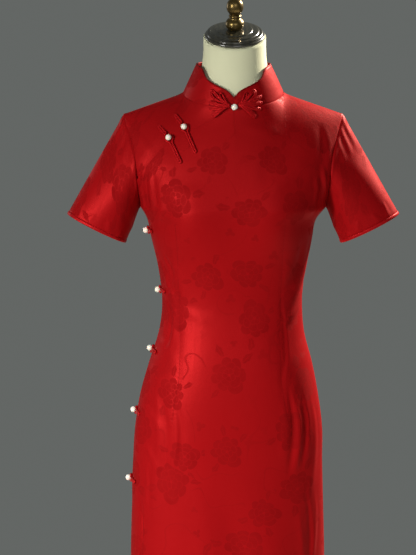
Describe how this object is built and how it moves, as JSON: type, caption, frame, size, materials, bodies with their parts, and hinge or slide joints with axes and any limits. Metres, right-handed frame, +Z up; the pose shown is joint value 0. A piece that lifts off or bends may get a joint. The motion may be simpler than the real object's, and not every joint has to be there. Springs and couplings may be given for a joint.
{
  "type": "cheongsam dress on a limbless dress form",
  "caption": "Red damask cheongsam with short sleeves, stand collar, slanting front opening, pearl-button cord fastenings and side slits, worn on a limbless dress form with a round base.",
  "frame": {"origin": "on the floor, at the centre of the round base", "axes": "+Z up, -Y the way the dress faces, -X the wearer's right side with the fastenings"},
  "size_m": [0.5766, 0.36, 1.5425],
  "materials": {
    "damask": "satin damask, tone-on-tone flowers",
    "cord": "satin bias cord",
    "pearl": "pearl lustre",
    "form_cloth": "plain cream linen",
    "dark_wood": "dark glossy turned wood",
    "brass": "polished amber brass",
    "black_metal": "satin black"
  },
  "bodies": {
    "root": {"dress_front": "damask", "dress_back": "damask", "dress_underlap": "damask", "sleeve_right": "damask", "sleeve_left": "damask", "sleeve_band_right": "damask", "sleeve_band_left": "damask", "collar": "damask", "collar_piping": "cord", "chest_frog_1_loop": "cord", "chest_frog_1_knot": "cord", "chest_frog_1_pearl": "pearl", "chest_frog_2_loop": "cord", "chest_frog_2_knot": "cord", "chest_frog_2_pearl": "pearl", "side_frog_1_loop": "cord", "side_frog_1_knot": "cord", "side_frog_1_pearl": "pearl", "side_frog_2_loop": "cord", "side_frog_2_knot": "cord", "side_frog_2_pearl": "pearl", "side_frog_3_loop": "cord", "side_frog_3_knot": "cord", "side_frog_3_pearl": "pearl", "side_frog_4_loop": "cord", "side_frog_4_knot": "cord", "side_frog_4_pearl": "pearl", "side_frog_5_loop": "cord", "side_frog_5_knot": "cord", "side_frog_5_pearl": "pearl", "butterfly_upper_right": "cord", "butterfly_lower_right": "cord", "butterfly_upper_left": "cord", "butterfly_lower_left": "cord", "butterfly_pearl": "pearl", "form_body": "form_cloth", "neck_cap": "dark_wood", "finial": "brass", "stand_pole": "black_metal", "stand_base": "dark_wood"}
  },
  "joints": []
}
